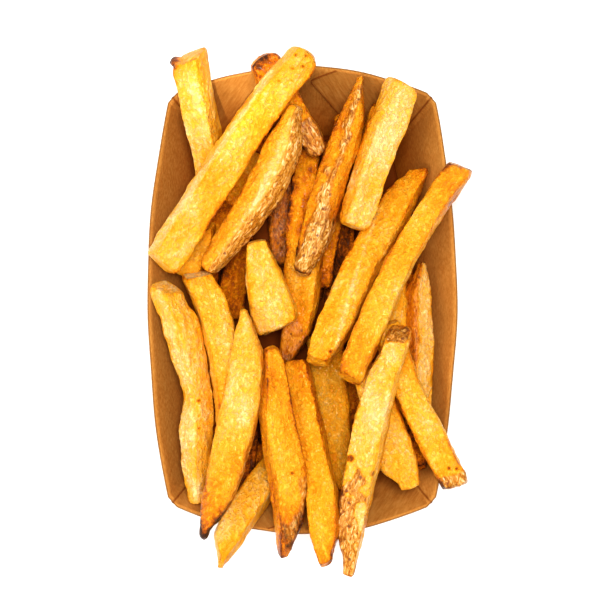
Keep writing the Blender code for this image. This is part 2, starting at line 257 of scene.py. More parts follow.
def kraft_material(name, grain_scale, paleness=1.0):
    """Brown kraft board: short fibres in one direction and faint clouds, with painted shade towards the
    foot and along the scored creases.
    """
    material, tree, shader = new_material(name)
    grain = node(tree, "UVMap", uv_map="grain")
    drawn = node(tree, "Mapping", {"Scale": grain_scale})
    fibres = node(tree, "TexNoise", {"Scale": 1500.0, "Detail": 4.0, "Roughness": 0.65})
    place = node(tree, "TexCoord")
    clouds = node(tree, "Group", {"Scale": 160.0, "Fine share": 0.45}, node_tree=mottling)
    mix = node(tree, "Mix", {"Factor": 0.40}, data_type="FLOAT")
    stops = (
        (0.30, (0.32, 0.122, 0.019)),
        (0.46, (0.43, 0.176, 0.033)),
        (0.58, (0.51, 0.235, 0.052)),
        (0.74, (0.58, 0.310, 0.095)),
    )
    colour = ramp(tree, [(at, tuple(paleness * part for part in tint)) for at, tint in stops])
    height = node(tree, "SeparateXYZ")
    # Painted shade: the board darkens and warms towards the foot of the walls, where shade falls.
    foot = soft_band(tree, FOOT_SHADE_FROM, FOOT_SHADE_FULL, 0.0, 0.85)
    low = multiplied(tree, {"B": (0.92, 0.50, 0.09, 1.0)})
    # Painted shade along the scored creases and the gussets' free edges.
    score_shade = node(tree, "Attribute", attribute_name="score_shade")
    painted_crease_shade = multiplied(tree, {"B": (0.50, 0.34, 0.24, 1.0)})
    bump = node(tree, "Bump", {"Strength": 0.4, "Distance": 0.00008})
    wire(
        tree,
        (grain, "UV", drawn, "Vector"),
        (drawn, "Vector", fibres, "Vector"),
        (place, "Object", clouds, "Vector"),
        (fibres, "Fac", mix, "A"),
        (clouds, "Value", mix, "B"),
        (mix, "Result", colour, "Fac"),
        (place, "Object", height, "Vector"),
        (height, "Z", foot, "Value"),
        (foot, "Result", low, "Factor"),
        (colour, "Color", low, "A"),
        (score_shade, "Fac", painted_crease_shade, "Factor"),
        (low, "Result", painted_crease_shade, "A"),
        (painted_crease_shade, "Result", shader, "Base Color"),
        (fibres, "Fac", bump, "Height"),
        (bump, "Normal", shader, "Normal"),
    )
    shader.inputs["Roughness"].default_value = 0.65
    shader.inputs["Specular IOR Level"].default_value = 0.10
    return material


kraft = kraft_material("kraft_board", (1.0, 0.45, 1.0))
cut_kraft = kraft_material("kraft_cut_edge", (1.0, 1.0, 1.0), 0.62)
tray = add_piece("tray_board", tray_sheet(), [kraft, cut_kraft])
crease = tray.modifiers.new("creases", "BEVEL")
crease.width = CREASE_RADIUS
crease.segments = 2
crease.limit_method = "ANGLE"
crease.angle_limit = CREASE_ANGLE
board = tray.modifiers.new("board", "SOLIDIFY")
board.thickness = BOARD
board.offset = 1.0
board.use_even_offset = True
board.material_offset_rim = 1
tray.data.shade_smooth()
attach(tray, "root")

# The gussets: at each corner the spare board is folded flat and glued to the inside of the end
# wall. Each shows a fold that runs up from the foot of the corner and a cut edge back to the rim.
GUSSET_APEX_X = 2.5 * MM
GUSSET_APEX_RISE = 0.86
GUSSET_TOP_X = 12.5 * MM
GUSSET_FOOT_RISE = 0.05
GUSSET_FULL = 0.985
GUSSET_THICKNESS = 0.5 * MM
GUSSET_SUNK = 0.15 * MM
GUSSET_SPRING = 0.35 * MM
GUSSET_FACING_STEP = 0.02
GUSSET_GRAIN = (0.76, 0.65)


def gusset_sheets():
    """The four folded plies, one closed sheet each, in one mesh."""
    rows, columns = 40, 28
    shape = bmesh.new()
    grain = shape.loops.layers.uv.new("grain")
    score_shade = shape.verts.layers.float.new("score_shade")
    for mirror_x, mirror_y in ((1, 1), (-1, 1), (1, -1), (-1, -1)):
        layers = []
        for top in (0, 1):
            grid = []
            for row in range(rows + 1):
                rise = mixed(GUSSET_FOOT_RISE, GUSSET_FULL, row / rows)
                corner_x = mixed(BASE_HALF_WIDTH, CORNER_HALF_WIDTH, rise)
                if rise < GUSSET_APEX_RISE:
                    edge_x = mixed(BASE_HALF_WIDTH, GUSSET_APEX_X, rise / GUSSET_APEX_RISE)
                else:
                    past = (rise - GUSSET_APEX_RISE) / (1.0 - GUSSET_APEX_RISE)
                    edge_x = mixed(GUSSET_APEX_X, GUSSET_TOP_X, past)
                line = []
                for column in range(columns + 1):
                    across = mixed(edge_x / corner_x, GUSSET_FULL, column / columns)
                    point = end_wall_point(across, rise)
                    below = end_wall_point(across, rise - GUSSET_FACING_STEP)
                    beside = end_wall_point(across - GUSSET_FACING_STEP, rise)
                    inward = (point - below).cross(point - beside).normalized()
                    if inward.y > 0.0:
                        inward = -inward
                    lift = GUSSET_SPRING * (1.0 - column / columns) ** 6 * min(1.0, rise * 2.0)
                    depth = GUSSET_THICKNESS * top - GUSSET_SUNK + lift
                    place = point + inward * depth
                    vertex = shape.verts.new((place.x * mirror_x, place.y * mirror_y, place.z))
                    # The gusset's free edge carries painted shade, like the shadow of the thin gap under
                    # it.
                    vertex[score_shade] = 0.9 if column == 0 else 0.0
                    line.append(vertex)
                grid.append(line)
            layers.append(grid)
        faces = []
        for row in range(rows):
            for column in range(columns):
                for grid in layers:
                    faces.append(shape.faces.new((
                        grid[row][column], grid[row][column + 1],
                        grid[row + 1][column + 1], grid[row + 1][column],
                    )))
        under, over = layers
        border = [(0, column) for column in range(columns + 1)]
        border += [(row, columns) for row in range(1, rows + 1)]
        border += [(rows, column) for column in range(columns - 1, -1, -1)]
        border += [(row, 0) for row in range(rows - 1, 0, -1)]
        for i, (row, column) in enumerate(border):
            next_row, next_column = border[(i + 1) % len(border)]
            faces.append(shape.faces.new((
                under[row][column], under[next_row][next_column],
                over[next_row][next_column], over[row][column],
            )))
        with_x, with_y = GUSSET_GRAIN
        for face in faces:
            for loop in face.loops:
                x, y = abs(loop.vert.co.x), abs(loop.vert.co.y)
                loop[grain].uv = (x * with_x + y * with_y, y * with_x - x * with_y)
    bmesh.ops.recalc_face_normals(shape, faces=shape.faces)
    mesh = bpy.data.meshes.new("tray_gussets")
    shape.to_mesh(mesh)
    shape.free()
    return mesh


gusset_kraft = kraft_material("kraft_gusset", (1.0, 0.14, 1.0))
gussets = add_piece("tray_gussets", gusset_sheets(), [gusset_kraft])
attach(gussets, "root")
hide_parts("tray")

# The heap: strips cut by hand from whole potatoes, so no two have the same outline, and fried
# until the thin ends and edges brown. They are laid one after another, so that each one rests on
# the walls, the rim or the fries below it.
TRAY_CLEARANCE = 1.1 * MM
PRESSED_IN = 2.0 * MM
BURIED = 4.0 * MM
SOFT_EDGE = 0.72
CORE_EDGE_HEIGHT = 18.0 * MM
CORE_TOP_HEIGHT = 21.0 * MM
FRY_ROUNDING = 5.0
FRY_END_SCALE = 0.82
CELL = 1.0 * MM
MAP_HALF = 110
REST_STEPS = 81
STAMP_RINGS = 161
STAMP_SIDES = 60
CROWD_CELLS = 6

# A row is one fry: its kind, where its line starts and ends from above, its width at the start,
# middle and end, how far it bows to the left, its thickness, its roll in degrees, and its look.
# Lengths are in mm. A look's edges are the left and right outlines from that line, at even steps,
# and reach is how far its ends run past the line's. A cut end is (round, slant, tilt): how far its
# corners fall back, how much further its left corner runs, and how far its top edge falls back.
# Tones run from 0, pale, to 1, burnt, and the deep ones' dark tones are painted shade. Skin is (middle
# angle, half angle) round the fry from its left side, peel is (from share, to share, right, left), streaks
# are (from share, from side, to share, to side, width, paler by), and spots are (share, side, radius).
# An east or west entry is painted shade on the faces that turn that way.
LOW_FRIES = (
    ("deep", (34, 24), (33, -46), (9, 10, 9), 0, 10, 0, {}),
    ("deep", (-33, 44), (-34, 4), (9, 10, 9), 0, 10, 0, {}),
    ("deep", (-34, -4), (-32, -48), (9, 10, 9), 0, 10, 0, {}),
    ("deep", (-22, 56), (12, 51), (9, 10, 9), 0, 10, 0, {}),
    ("deep", (-24, -53), (14, -57), (9, 10, 9), 0, 10, 0, {}),
    ("deep", (14, 28), (12, -14), (9, 10, 9), 0, 10, 0, {}),
    ("deep", (-18, -39), (-20, -64), (6, 7, 6), 0, 8, 0, {"tone": 0.76}),
    ("deep", (33, -30), (40, -58), (7, 8, 7), 0, 8, 0, {"tone": 0.72}),
    ("deep", (18, -20), (21, -53), (8, 10, 8), 0, 9, 0, {"tone": 0.58}),
    ("deep", (-22, 26), (-25, -7), (9, 10, 9), 0, 9, 0, {"tone": 0.66}),
    ("deep", (-12, 21), (-10, 0), (6, 7, 6), 0, 8, 0, {"tone": 0.66}),
    ("deep", (-23, 43), (-30, 19), (9, 9, 9), 0, 9, 0, {"tone": 0.58}),
    ("skin", (-7, 50), (-7, 12), (8, 9, 6), 0, 9, 0, {"tone": 0.54, "skin": (90, 80), "film": 0.35}),
    ("deep", (5, 50), (3, 0), (8, 8, 8), 0, 8, 0, {"tone": 0.58}),
    ("skin", (41, 12), (40, -43), (8, 10, 9), 0, 10, 35, {
        "tone": 0.12,
        "edges": ((1.5, 3.0, 3.7, 4.0, 4.0, 3.7, 3.0), (-1.0, -5.5, -5.8, -5.8, -5.5, -5.0, -5.0)),
        "reach": (1.0, 0.0), "roll": -35, "start_cut": (2.0, 0.0, 0.0), "skin": (150, 62),
        "film": 0.35, "skin_tone": 0.50}),
    ("golden", (31, 13), (31, -27), (9, 9, 8), 0, 9, 0, {"tone": 0.26}),
    ("golden", (9, -12), (14, -65), (10, 10, 6), 0, 10, 0, {
        "tone": 0.36,
        "edges": ((5.0, 5.0, 5.0, 5.0, 4.6, 3.2, 0.5), (-7.5, -7.0, -6.3, -6.0, -5.6, -4.6, -1.5)),
        "reach": (0.0, 1.0)}),
    ("golden", (23, -22), (35, -62), (11, 11, 11), 0, 10, 0, {
        "tone": 0.27, "east_shade": 0.14,
        "edges": ((5.0, 5.0, 5.0, 5.3, 5.7, 6.0, 4.8), (-6.0, -6.3, -6.6, -7.0, -7.2, -7.0, -2.0)),
        "reach": (0.0, 3.0), "end_cut": (1.5, 0.0, 1.0)}),
    ("golden", (16, 64), (6, 4), (8, 8, 8), 0, 10, 0, {"tone": 0.63}),
    ("golden", (26, 69), (21, 52), (8, 8, 8), 0, 9, 0, {
        "tone": 0.46, "edges": ((4.0, 4.0), (-1.6, -1.6)), "reach": (-2.0, 0.0)}),
    ("golden", (-16, 51), (-25, 32), (7, 8, 5), 0, 8, 0, {"tone": 0.38}),
)
TOP_FRIES = (
    ("orange", (2, 57), (-4, -22), (10, 13, 7), 3, 10, 0, {
        "tone": 0.42, "east_shade": 0.08, "west_shade": 0.08, "end_tone": 0.34, "start_tone": 0.08,
        "streaks": ((0.0, 1.0, 0.42, 1.5, 7.0, -0.24), (0.1, -1.4, 0.7, 0.4, 0.7, 0.12)),
        "edges": ((4.0, 5.5, 7.0, 8.2, 8.6, 7.0, 1.0), (-1.0, -3.4, -4.8, -4.5, -3.8, -3.6, -3.6)),
        "reach": (1.0, 1.5), "roll": 12, "end_cut": (1.0, -1.5, 0.5), "skin_from_end": 0.16,
        "skin_tone": 0.10, "film": 0.45}),
    ("orange", (-12.5, 81.5), (5, 51), (10, 10.5, 9), 0, 10.5, 0, {
        "tone": 0.55, "start_tone": 0.10, "film": 0.8,
        "edges": ((4.3, 4.3, 4.0, 3.8, 3.6, 4.0, 3.0), (-6.3, -6.4, -6.0, -5.0, -4.2, -4.0, -3.0)),
        "reach": (1.0, 2.0), "start_cut": (3.2, 0.0, 0.5), "end_cut": (3.0, 0.0, 0.0),
        "skin_from_end": 0.30, "spots": ((0.05, -3.6, 1.3), (0.14, -4.8, 0.6))}),
    ("pale", (-30.5, 25.5), (-39, 8.5), (3.5, 9, 9), 0, 9, 0, {
        "tone": 0.24,
        "edges": ((0.3, 1.6, 2.0, 2.2, 2.6, 3.0, 3.4), (-0.5, -1.6, -2.6, -3.3, -4.2, -5.0, -5.4))}),
    ("golden", (29, -7.5), (50.5, -61), (9.5, 9.5, 10), 0.5, 10, 0, {
        "tone": 0.30, "end_tone": 0.09, "west_shade": 0.10,
        "edges": ((3.5, 2.8, 2.3, 2.4, 3.3, 4.0, 4.7), (-5.5, -6.5, -7.0, -6.9, -6.0, -5.2, -3.8)),
        "reach": (0.0, 3.4), "end_cut": (1.0, 0.4, 2.0), "skin_from_end": 0.04,
        "spots": ((0.91, 0.5, 0.7), (0.93, 2.8, 0.6))}),
    ("golden", (-1.5, -15.5), (7.5, -88), (10, 11.5, 7), 1, 10.5, 0, {
        "tone": 0.48, "east_shade": 0.10, "end_tone": 0.08,
        "edges": ((2.0, 3.8, 4.8, 5.8, 7.2, 6.8, 3.0), (-4.5, -5.8, -4.8, -3.8, -3.1, -3.9, -2.0)),
        "reach": (-4.5, 1.6), "end_cut": (1.6, -0.8, 1.6), "roll": 8}),
    ("pale", (-10.5, -52.5), (-26.5, -87), (9, 11.5, 2.5), -1, 10, 0, {
        "tone": 0.20,
        "edges": ((8.0, 7.5, 6.5, 5.3, 4.2, 3.0, 0.5), (-0.5, -2.3, -4.0, -5.3, -6.5, -6.0, -0.6)),
        "reach": (0.0, 0.8), "end_tone": 0.16, "roll": 10}),
    ("orange", (-11.5, -15), (-5.5, -86), (8, 12, 4), 1.5, 11, 0, {
        "tone": 0.42, "west_shade": 0.10, "end_tone": 0.42, "end_reach": 9.5, "film": 0.8,
        "peel": ((0.64, 0.86, 6.2, 9.5), (0.84, 1.0, 0.6, 9.0)),
        "edges": ((3.8, 5.4, 6.6, 8.4, 8.8, 7.0, 0.4), (-1.6, -2.8, -5.0, -4.2, -3.1, -2.8, -1.8)),
        "reach": (-0.5, 0.4), "start_cut": (2.4, 0.0, 0.6), "roll": -18, "spots": ((0.60, 4.6, 0.5),)}),
    ("golden", (38.5, 43.5), (6, -19), (9, 12.5, 11.5), -1.5, 11, 0, {
        "tone": 0.36, "start_tone": 0.16,
        "streaks": ((0.26, -5.4, 0.66, -1.2, 0.8, 0.20), (0.66, -1.2, 0.94, 3.0, 0.8, 0.20)),
        "edges": ((4.6, 5.8, 5.0, 4.6, 5.2, 6.0, 4.0), (-2.0, -5.9, -6.5, -7.3, -7.2, -6.2, -4.8)),
        "reach": (2.6, 2.6), "roll": 14, "start_cut": (0.8, 2.0, 0.8), "end_cut": (2.2, -0.4, 1.0),
        "spots": ((0.97, 2.2, 0.6),)}),
    ("pale", (-46, 4.5), (-36, -67.5), (11.5, 12.5, 10), 5, 11, 20, {
        "tone": 0.13, "east_shade": 0.08,
        "edges": ((5.5, 9.0, 10.3, 10.3, 9.0, 6.6, 3.6), (-5.6, -3.2, -1.6, 1.2, -1.8, -3.2, -3.0)),
        "reach": (2.0, 2.2), "roll": -43, "start_cut": (1.6, -2.2, 4.2), "end_cut": (2.6, -0.6, 0.6),
        "start_face": 0.14, "spots": ((0.54, 5.6, 0.8), (0.61, 5.2, 0.4), (0.67, 4.8, 0.3))}),
    ("golden", (-37, 81.5), (-31.5, 40), (11.5, 11.5, 10.5), 0, 11, 15, {
        "tone": 0.22, "east_shade": 0.08,
        "edges": ((5.4, 5.2, 5.4, 5.8, 6.3, 6.3, 6.3), (-6.8, -6.2, -5.8, -5.2, -4.6, -4.3, -4.3)),
        "reach": (0.6, 0.0), "roll": 24, "start_cut": (0.3, 2.2, 1.2),
        "burr": (0.2, -5.8, 2.7, 4.0), "spots": ((0.05, -6.0, 0.8),)}),
    ("skin", (-2.5, 63), (-30.5, 11), (6, 13, 7.5), 2.5, 11, 20, {
        "tone": 0.18, "west_shade": 0.18, "skin": (22, 58), "section": 3.0,
        "streaks": ((0.04, 0.6, 0.5, 3.0, 0.9, 0.16), (0.5, 3.0, 0.96, 0.4, 0.9, 0.16),
                    (0.2, -1.8, 0.9, -1.8, 0.7, -0.07)),
        "edges": ((2.0, 7.8, 9.4, 9.3, 7.8, 5.6, 2.0), (-2.3, -3.1, -3.1, -2.9, -3.5, -4.0, -4.0)),
        "reach": (1.6, 1.2), "roll": 24, "start_cut": (1.0, 0.0, 0.0), "end_cut": (1.5, 0.0, 0.0)}),
    ("golden", (-35, 9.5), (-23.5, -48), (11, 11.5, 9.5), 3, 11, 0, {
        "tone": 0.27, "end_tone": 0.10,
        "edges": ((4.2, 7.0, 8.2, 8.5, 8.0, 6.5, 5.0), (-6.3, -4.0, -3.0, -2.5, -2.7, -3.6, -4.6)),
        "reach": (1.2, 0.0), "roll": -10, "start_cut": (0.3, -0.3, 3.6), "start_face": 0.0}),
    ("skin", (19.5, 73.5), (1, 10), (4, 11, 6), 1, 11, 0, {
        "tone": 0.54, "west_shade": 0.04, "section": 3.2, "film": 1.1,
        "peel": ((0.0, 0.34, -0.5, 2.2), (0.22, 0.58, -0.7, 1.6), (0.48, 0.80, -3.0, 1.4),
                 (0.74, 1.1, -4.0, 6.0)),
        "edges": ((0.9, 4.9, 5.6, 5.3, 5.0, 5.2, 1.6), (-1.2, -3.2, -4.4, -5.0, -5.3, -4.6, -3.4)),
        "reach": (2.6, 2.0), "roll": 20, "end_cut": (1.6, 0.0, 0.8)}),
    ("pale", (33.5, 72.5), (17, 25), (11, 12, 9), 0.5, 11, 15, {
        "tone": 0.12, "west_shade": 0.16, "end_tone": 0.10,
        "edges": ((6.0, 6.2, 6.0, 5.6, 5.4, 5.9, 5.2), (-5.4, -5.8, -6.6, -6.3, -5.7, -5.4, -4.8)),
        "reach": (1.4, 0.8), "roll": -20, "start_cut": (1.2, -1.0, 0.8), "end_cut": (1.0, 0.0, 1.0)}),
    ("orange", (53.5, 45), (16, -26), (10.5, 10, 10), -3, 11, 0, {
        "tone": 0.35, "start_tone": 0.27, "end_tone": 0.14,
        "edges": ((5.0, 2.7, 1.7, 1.3, 1.9, 2.9, 4.2), (-4.6, -6.2, -7.5, -8.0, -7.4, -6.5, -5.0)),
        "reach": (1.8, 0.8), "roll": 10, "start_cut": (0.6, 0.6, 3.4), "end_cut": (1.4, 0.2, 1.0),
        "start_face": 0.55}),
    ("skin", (32.5, -12.5), (16, -90.5), (9.5, 11, 4.5), -2.5, 11, 0, {
        "tone": 0.19,
        "edges": ((3.5, 2.8, 2.6, 2.6, 2.5, 2.3, 1.8), (-4.8, -7.8, -8.8, -8.9, -8.3, -7.0, -1.4)),
        "reach": (4.2, 2.2), "roll": 14, "start_cut": (0.6, 1.2, 6.2), "start_face": 0.30,
        "skin_from_end": 0.35, "skin_gap": 1.3, "skin_tone": 0.50, "film": 0.95, "end_tone": 0.16,
        "spots": ((0.53, -8.0, 1.3), (0.87, -4.6, 1.1), (0.86, -2.0, 0.6), (-0.02, 1.8, 1.2),
                  (0.00, -1.6, 0.6), (0.02, -3.9, 0.5))}),
    ("skin", (-19.5, -3.5), (-32.5, -78.5), (3.5, 12, 4), 3.5, 11, 0, {
        "tone": 0.19, "skin": (20, 24), "end_tone": 0.78, "end_reach": 15.0, "section": 3.4,
        "edges": ((0.8, 9.0, 11.0, 10.4, 9.6, 7.2, 0.6), (-0.9, -1.5, -1.4, -1.9, -2.3, -2.7, -1.2)),
        "reach": (0.6, 1.2), "roll": 8, "film": 0.7, "end_cut": (2.4, 0.0, 1.2)}),
    ("pale", (-15, 18.5), (-9, -8), (7.5, 10.5, 13), 0, 10.5, 0, {
        "tone": 0.20,
        "edges": ((3.2, 4.2, 5.2, 6.3, 7.3, 8.2, 8.0), (-3.6, -4.8, -5.6, -6.2, -6.8, -7.3, -7.0)),
        "reach": (1.8, 2.6), "start_cut": (1.6, 0.0, 0.4), "end_cut": (1.0, -1.5, 1.2)}),
    ("pale", (-1, 80), (-48, 12), (12.5, 11.5, 12.5), -2, 11.5, 0, {
        "tone": 0.25, "east_shade": 0.16, "start_tone": 0.06,
        "streaks": ((0.12, -4.8, 1.0, -4.8, 1.5, 0.15), (0.1, -2.8, 0.98, -2.8, 0.35, -0.07)),
        "edges": ((6.8, 5.2, 5.2, 5.6, 6.1, 6.6, 6.8), (-4.6, -6.5, -6.5, -6.7, -6.7, -6.1, -5.5)),
        "reach": (3.6, 1.6), "roll": -22, "start_cut": (4.6, 0.0, 0.6), "end_cut": (0.7, 0.6, 4.0),
        "spots": ((0.02, 3.2, 0.5), (0.05, 0.8, 0.4), (0.00, -0.8, 0.45), (0.09, 2.6, 0.35),
                  (-0.02, 2.0, 0.4), (0.68, 1.4, 0.35), (0.12, -0.6, 0.3))}),
)


def fry_width(widths, share):
    """Width along a fry: a pointed end widens fast, and a plain one evenly."""
    tip, middle = (widths[0], widths[1]) if share < 0.5 else (widths[2], widths[1])
    if tip < middle * 0.8:
        return mixed(tip, middle, math.sin(share * math.pi) ** 0.7)
    return mixed(tip, middle, 1.0 - abs(share - 0.5) * 2.0)


def squarish(angles, power):
    """Points round a square with soft corners, as shares across and up from -1 to 1."""
    across, up = np.cos(angles), np.sin(angles)
    return np.sign(across) * np.abs(across) ** power, np.sign(up) * np.abs(up) ** power


def rolled(u, v, roll):
    turn = math.radians(roll)
    return u * math.cos(turn) - v * math.sin(turn), u * math.sin(turn) + v * math.cos(turn)


def fry_surface(fry, shares, sides, fullness=1.0):
    """Points of a level fry in rings, its axis at height 0; fullness narrows it."""
    start, end, widths, bow, thickness, roll = fry[1:7]
    start = np.array(start) * MM
    end = np.array(end) * MM
    forward = (end - start) / np.linalg.norm(end - start)
    left = np.array((-forward[1], forward[0]))
    angles = (np.arange(sides) + 0.5) * 2.0 * math.pi / sides
    outline_u, outline_v = squarish(angles, 2.0 / FRY_ROUNDING)
    rings = []
    for share in shares:
        width = fry_width(widths, share) * MM
        height = thickness * MM * (0.55 + 0.45 * min(1.0, width / (widths[1] * MM)))
        if share in (0.0, 1.0):
            width *= FRY_END_SCALE
            height *= FRY_END_SCALE
        across, up = rolled(outline_u * width * fullness / 2.0, outline_v * height / 2.0, roll)
        middle = start + (end - start) * share + left * bow * MM * 4.0 * share * (1.0 - share)
        plan = middle + left * across[:, None]
        rings.append(np.column_stack((plan, up)))
    return np.array(rings)


def tray_heights():
    """For each cell of the plan, the height that a fry has to clear: wall, rim or core."""
    cells = (np.arange(2 * MAP_HALF) + 0.5 - MAP_HALF) * CELL
    x, y = np.meshgrid(np.abs(cells), np.abs(cells))
    along = np.clip(y / CORNER_HALF_LENGTH, 0.0, 1.0)
    across = np.clip(x / CORNER_HALF_WIDTH, 0.0, 1.0)
    side_x = mixed(CORNER_HALF_WIDTH, RIM_HALF_WIDTH, 1.0 - along ** 2)
    side_z = mixed(CORNER_RIM_HEIGHT, SIDE_RIM_HEIGHT, 1.0 - along ** 2)
    end_y = mixed(CORNER_HALF_LENGTH, RIM_HALF_LENGTH, 1.0 - across ** 2)
    end_z = mixed(CORNER_RIM_HEIGHT, END_RIM_HEIGHT, 1.0 - across ** 2)
    by_side = (x + TRAY_CLEARANCE - BASE_HALF_WIDTH) / (side_x - BASE_HALF_WIDTH) * side_z
    by_end = (y + TRAY_CLEARANCE - BASE_HALF_LENGTH) / (end_y - BASE_HALF_LENGTH) * end_z
    height = np.maximum(np.maximum(by_side, by_end), CORE_EDGE_HEIGHT - BURIED)
    height = np.minimum(height, np.maximum(side_z, end_z)) + TRAY_CLEARANCE
    inside = (x < side_x + BOARD * 2.5) & (y < end_y + BOARD * 2.5)
    return np.where(inside, height, -1.0)


def cell_of(points):
    """The rows and columns of the plan's cells under some points."""
    cells = np.clip((points[:, :2] / CELL + MAP_HALF).astype(int), 0, 2 * MAP_HALF - 1)
    return cells[:, 1], cells[:, 0]


def resting_line(fry, walls, heap, pressed):
    """The heights of a straight fry's two ends where it comes to rest on what lies below it."""
    shares = np.linspace(0.0, 1.0, REST_STEPS)
    middle = REST_STEPS // 2
    need = []
    for ring in fry_surface(fry, shares, 40, SOFT_EDGE):
        cell = cell_of(ring)
        below = np.maximum(walls[cell], heap[cell] - pressed)
        need.append((below - ring[:, 2]).max())
    need = np.array(need)
    best = None
    for i in range(middle + 1):
        for j in range(middle + 1, REST_STEPS):
            slope = (need[j] - need[i]) / (shares[j] - shares[i])
            line = need[i] + slope * (shares - shares[i])
            if np.all(line >= need - 1e-9) and (best is None or line[middle] < best[0]):
                best = (line[middle], line[0], line[-1])
    return best[1], best[2]


def lay_all():
    """Rests every fry in turn. Gives each with the heights of its two ends, and the heap's top."""
    walls = tray_heights()
    heap = np.full_like(walls, -1.0)
    shares = np.linspace(0.0, 1.0, STAMP_RINGS)
    laid = []
    for fries, pressed in ((LOW_FRIES, BURIED), (TOP_FRIES, PRESSED_IN)):
        for fry in fries:
            low, high = resting_line(fry, walls, heap, pressed)
            for share, ring in zip(shares, fry_surface(fry, shares, STAMP_SIDES)):
                np.maximum.at(heap, cell_of(ring), ring[:, 2] + mixed(low, high, share))
            laid.append((fry, low, high))
    return laid, heap


def lattice_noise(points, size, seed):
    """Smooth value noise from -1 to 1 at points (n, 3), with bumps about this size apart."""
    scaled = points / size
    base = np.floor(scaled).astype(np.int64)
    part = scaled - base
    part = part * part * (3.0 - 2.0 * part)
    total = np.zeros(len(points))
    for corner in range(8):
        offset = np.array(((corner >> 0) & 1, (corner >> 1) & 1, (corner >> 2) & 1))
        cell = base + offset
        x_code, y_code, z_code = (cell * (73856093, 19349663, 83492791)).T
        code = x_code ^ y_code ^ z_code ^ (seed * 2654435)
        code = (code ^ (code >> 13)) * 1274126177 & 0x7FFFFFFF
        value = (code ^ (code >> 16)) / 0x7FFFFFFF * 2.0 - 1.0
        weight = np.prod(np.where(offset == 1, part, 1.0 - part), axis=1)
        total += value * weight
    return total


def smooth_step(low, high, value):
    share = np.clip((value - low) / (high - low), 0.0, 1.0)
    return share * share * (3.0 - 2.0 * share)


def even_section(count, power, roll):
    """The cut through a fry, turned by its roll: points evenly round it as lateral and vertical
    shares from -1 to 1, how near each is to a cut edge, and the way that each faces."""
    u, v = squarish(np.linspace(0.0, 2.0 * math.pi, 4001), 2.0 / power)
    a, b = rolled(u, v, roll)
    a, b = a / np.abs(a).max(), b / np.abs(b).max()
    walked = np.concatenate(((0.0,), np.cumsum(np.hypot(np.diff(a), np.diff(b)))))
    stops = np.arange(count) * walked[-1] / count
    a_even, b_even = np.interp(stops, walked, a), np.interp(stops, walked, b)
    edge = np.interp(stops, walked, np.minimum(np.abs(u), np.abs(v)))
    run_a = np.roll(a_even, -1) - np.roll(a_even, 1)
    run_b = np.roll(b_even, -1) - np.roll(b_even, 1)
    length = np.hypot(run_a, run_b)
    return a_even, b_even, edge, run_b / length, -run_a / length


def along_line(values, shares):
    """Values given at even steps along a fry, read smoothly at any share of it."""
    steps = np.linspace(0.0, 1.0, 401)
    line = np.interp(steps, np.linspace(0.0, 1.0, len(values)), values)
    kernel = np.hanning(43)
    padded = np.pad(line, len(kernel) // 2, mode="edge")
    return np.interp(shares, steps, np.convolve(padded, kernel / kernel.sum(), mode="valid"))


def crowd_map(heap):
    """How high the heap stands round each cell of the plan, averaged over its neighbourhood."""
    heap = np.maximum(heap, 0.0)
    steps = range(-CROWD_CELLS, CROWD_CELLS + 1)
    near = [(y, x) for y in steps for x in steps if x ** 2 + y ** 2 <= CROWD_CELLS ** 2]
    return sum(np.roll(heap, step, axis=(0, 1)) for step in near) / len(near)


resting, heap_top = lay_all()
# The heap's height round each place, for the painted shade on fries that lie below it.
crowd = crowd_map(heap_top)

# Each strip's surface: rings along it, closed by a cap at each cut end, raised and browned by noise in its
# own places, and darkened by painted shade where it lies below the heap round it, towards its two sides
# and on faces that turn east or west. A relief row is (height in mm, size along, size across, which
# noise).
SPARE_WIDTH = 0.3 * MM
END_TUCK = 0.13
END_TUCK_REACH = 0.9 * MM
CAP_RINGS = 12
RELIEF = ((0.34, 15.0, 8.0, 0), (0.32, 5.0, 3.4, 1), (0.09, 1.1, 0.9, 3))
NOISE_SHIFT = 0.05
SHADED_SIDE_FACING = (0.15, 0.75)
# How far below the heap round it a fry's painted shade is at its darkest.
GAP_SHADE_DEPTH = 9.0 * MM
CUT_EDGE_REACH = 0.8 * MM
END_REACH = 9.0
STREAK_FADE = 2.5 * MM
SPOT_TONE = 0.88
BURR_TONE = 0.90


